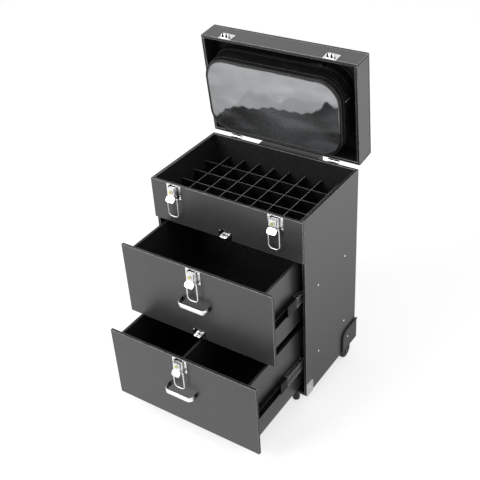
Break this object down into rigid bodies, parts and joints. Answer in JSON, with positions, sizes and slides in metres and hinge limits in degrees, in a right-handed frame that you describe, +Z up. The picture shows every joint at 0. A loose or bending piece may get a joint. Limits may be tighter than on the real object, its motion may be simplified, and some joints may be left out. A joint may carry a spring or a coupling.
{
  "type": "makeup train case",
  "caption": "Upright wheeled makeup case with a hinged lid holding a clear zip bag, a divided bottle tray, and drawers on telescopic rails with wire-bail latches.",
  "frame": {"origin": "on the floor, under the middle of the stored pose (lid open, drawers out)", "axes": "+X to the case's right as seen from the front, +Y to the back, +Z up"},
  "size_m": [0.3472, 0.4636, 0.6829],
  "materials": {
    "black_board": "matt charcoal laminate",
    "divider_plastic": "satin",
    "black_rail": "satin black",
    "zinc_rail": "zinc plated",
    "chrome": "polished",
    "brass": "polished",
    "satin_nickel": "satin",
    "steel": "zinc plated",
    "black_plastic": "moulded",
    "rubber": "matt",
    "bag_vinyl": "glossy black vinyl over fabric",
    "clear_vinyl": "clear",
    "zip_metal": "black nickel"
  },
  "bodies": {
    "cabinet": {"side_panels": "black_board", "back_panel": "black_board", "shelf_panels": "black_board", "handle_guides": "black_plastic", "fascia": "black_board", "tray_dividers_long": "divider_plastic", "tray_dividers_cross": "divider_plastic", "cabinet_rails": "black_rail", "cabinet_hinges": "steel", "fascia_latch_plates": "chrome", "fascia_catch": "chrome", "corner_guards": "steel", "front_feet": "rubber", "wheel_housings": "black_plastic", "wheel_axles": "steel", "side_rivets": "steel"},
    "lid": {"lid_top": "black_board", "lid_long_walls": "black_board", "lid_end_walls": "black_board", "lid_hinges": "steel", "lid_catches": "chrome", "bag_body": "bag_vinyl", "bag_window": "clear_vinyl", "bag_zip": "bag_vinyl"},
    "zip_slider": {"zip_slider": "zip_metal"},
    "pull_handle": {"pull_handle": "black_plastic"},
    "upper_drawer": {"upper_front": "black_board", "upper_sides": "black_board", "upper_back": "black_board", "upper_floor": "black_board", "upper_pull": "satin_nickel", "upper_rails": "black_rail", "upper_latch_plate": "chrome", "upper_catch": "chrome"},
    "lower_drawer": {"lower_front": "black_board", "lower_sides": "black_board", "lower_back": "black_board", "lower_floor": "black_board", "lower_divider": "black_board", "lower_pull": "satin_nickel", "lower_rails": "black_rail", "lower_latch_plate": "chrome"},
    "upper_middle_rails": {"upper_middle_rails": "zinc_rail"},
    "lower_middle_rails": {"lower_middle_rails": "zinc_rail"},
    "left_wheel": {"left_wheel_hub": "black_plastic", "left_wheel_tyre": "rubber"},
    "right_wheel": {"right_wheel_hub": "black_plastic", "right_wheel_tyre": "rubber"},
    "fascia_left_lever": {"fascia_left_lever": "chrome"},
    "fascia_left_bail": {"fascia_left_bail": "chrome"},
    "fascia_left_key_plug": {"fascia_left_key_plug": "brass"},
    "fascia_right_lever": {"fascia_right_lever": "chrome"},
    "fascia_right_bail": {"fascia_right_bail": "chrome"},
    "fascia_right_key_plug": {"fascia_right_key_plug": "brass"},
    "upper_lever": {"upper_lever": "chrome"},
    "upper_bail": {"upper_bail": "chrome"},
    "upper_key_plug": {"upper_key_plug": "brass"},
    "lower_lever": {"lower_lever": "chrome"},
    "lower_bail": {"lower_bail": "chrome"},
    "lower_key_plug": {"lower_key_plug": "brass"}
  },
  "joints": [
    {"name": "lid_hinge", "type": "hinge", "parent": "cabinet", "child": "lid", "pos_m": [0, 0.1835, 0.454], "axis": [1, 0, 0], "range_deg": [0, 84.1]},
    {"name": "zip_slide", "type": "slide", "parent": "lid", "child": "zip_slider", "axis": [1, 0, 0], "range_m": [-0.184, 0.0095]},
    {"name": "pull_handle_slide", "type": "slide", "parent": "cabinet", "child": "pull_handle", "axis": [0, 0, 1], "range_m": [0, 0.015]},
    {"name": "upper_drawer_slide", "type": "slide", "parent": "cabinet", "child": "upper_drawer", "axis": [0, -1, 0], "range_m": [-0.1075, 0.082]},
    {"name": "upper_middle_rail_slide", "type": "slide", "parent": "cabinet", "child": "upper_middle_rails", "axis": [0, -1, 0], "range_m": [-0.05376, 0.04101]},
    {"name": "lower_drawer_slide", "type": "slide", "parent": "cabinet", "child": "lower_drawer", "axis": [0, -1, 0], "range_m": [-0.1745, 0.015]},
    {"name": "lower_middle_rail_slide", "type": "slide", "parent": "cabinet", "child": "lower_middle_rails", "axis": [0, -1, 0], "range_m": [-0.08726, 0.00751]},
    {"name": "fascia_left_lever_hinge", "type": "hinge", "parent": "cabinet", "child": "fascia_left_lever", "pos_m": [-0.114, -0.041, 0.4475], "axis": [-1, 0, 0], "range_deg": [0, 85]},
    {"name": "fascia_left_bail_hinge", "type": "hinge", "parent": "cabinet", "child": "fascia_left_bail", "pos_m": [-0.114, -0.0452, 0.4273], "axis": [-1, 0, 0], "range_deg": [0, 184]},
    {"name": "fascia_left_key_turn", "type": "hinge", "parent": "fascia_left_lever", "child": "fascia_left_key_plug", "pos_m": [-0.114, -0.0484, 0.4418], "axis": [0, -1, 0], "range_deg": [0, 90]},
    {"name": "fascia_right_lever_hinge", "type": "hinge", "parent": "cabinet", "child": "fascia_right_lever", "pos_m": [0.114, -0.041, 0.4475], "axis": [-1, 0, 0], "range_deg": [0, 85]},
    {"name": "fascia_right_bail_hinge", "type": "hinge", "parent": "cabinet", "child": "fascia_right_bail", "pos_m": [0.114, -0.0452, 0.4273], "axis": [-1, 0, 0], "range_deg": [0, 184]},
    {"name": "fascia_right_key_turn", "type": "hinge", "parent": "fascia_right_lever", "child": "fascia_right_key_plug", "pos_m": [0.114, -0.0484, 0.4418], "axis": [0, -1, 0], "range_deg": [0, 90]},
    {"name": "upper_lever_hinge", "type": "hinge", "parent": "upper_drawer", "child": "upper_lever", "pos_m": [0, -0.149, 0.3565], "axis": [-1, 0, 0], "range_deg": [0, 85]},
    {"name": "upper_bail_hinge", "type": "hinge", "parent": "upper_drawer", "child": "upper_bail", "pos_m": [0, -0.1532, 0.3363], "axis": [-1, 0, 0], "range_deg": [0, 184]},
    {"name": "upper_key_turn", "type": "hinge", "parent": "upper_lever", "child": "upper_key_plug", "pos_m": [0, -0.1564, 0.3508], "axis": [0, -1, 0], "range_deg": [0, 90]},
    {"name": "lower_lever_hinge", "type": "hinge", "parent": "lower_drawer", "child": "lower_lever", "pos_m": [0, -0.216, 0.1915], "axis": [-1, 0, 0], "range_deg": [0, 85]},
    {"name": "lower_bail_hinge", "type": "hinge", "parent": "lower_drawer", "child": "lower_bail", "pos_m": [0, -0.2202, 0.1713], "axis": [-1, 0, 0], "range_deg": [0, 184]},
    {"name": "lower_key_turn", "type": "hinge", "parent": "lower_lever", "child": "lower_key_plug", "pos_m": [0, -0.2234, 0.1858], "axis": [0, -1, 0], "range_deg": [0, 90]},
    {"name": "left_wheel_spin", "type": "hinge", "parent": "cabinet", "child": "left_wheel", "pos_m": [-0.161, 0.1442, 0.018], "axis": [1, 0, 0], "continuous": true},
    {"name": "right_wheel_spin", "type": "hinge", "parent": "cabinet", "child": "right_wheel", "pos_m": [0.161, 0.1442, 0.018], "axis": [1, 0, 0], "continuous": true}
  ],
  "couplings": [
    {"joint": "upper_middle_rail_slide", "follows": "upper_drawer_slide", "ratio": 0.5},
    {"joint": "lower_middle_rail_slide", "follows": "lower_drawer_slide", "ratio": 0.5}
  ]
}
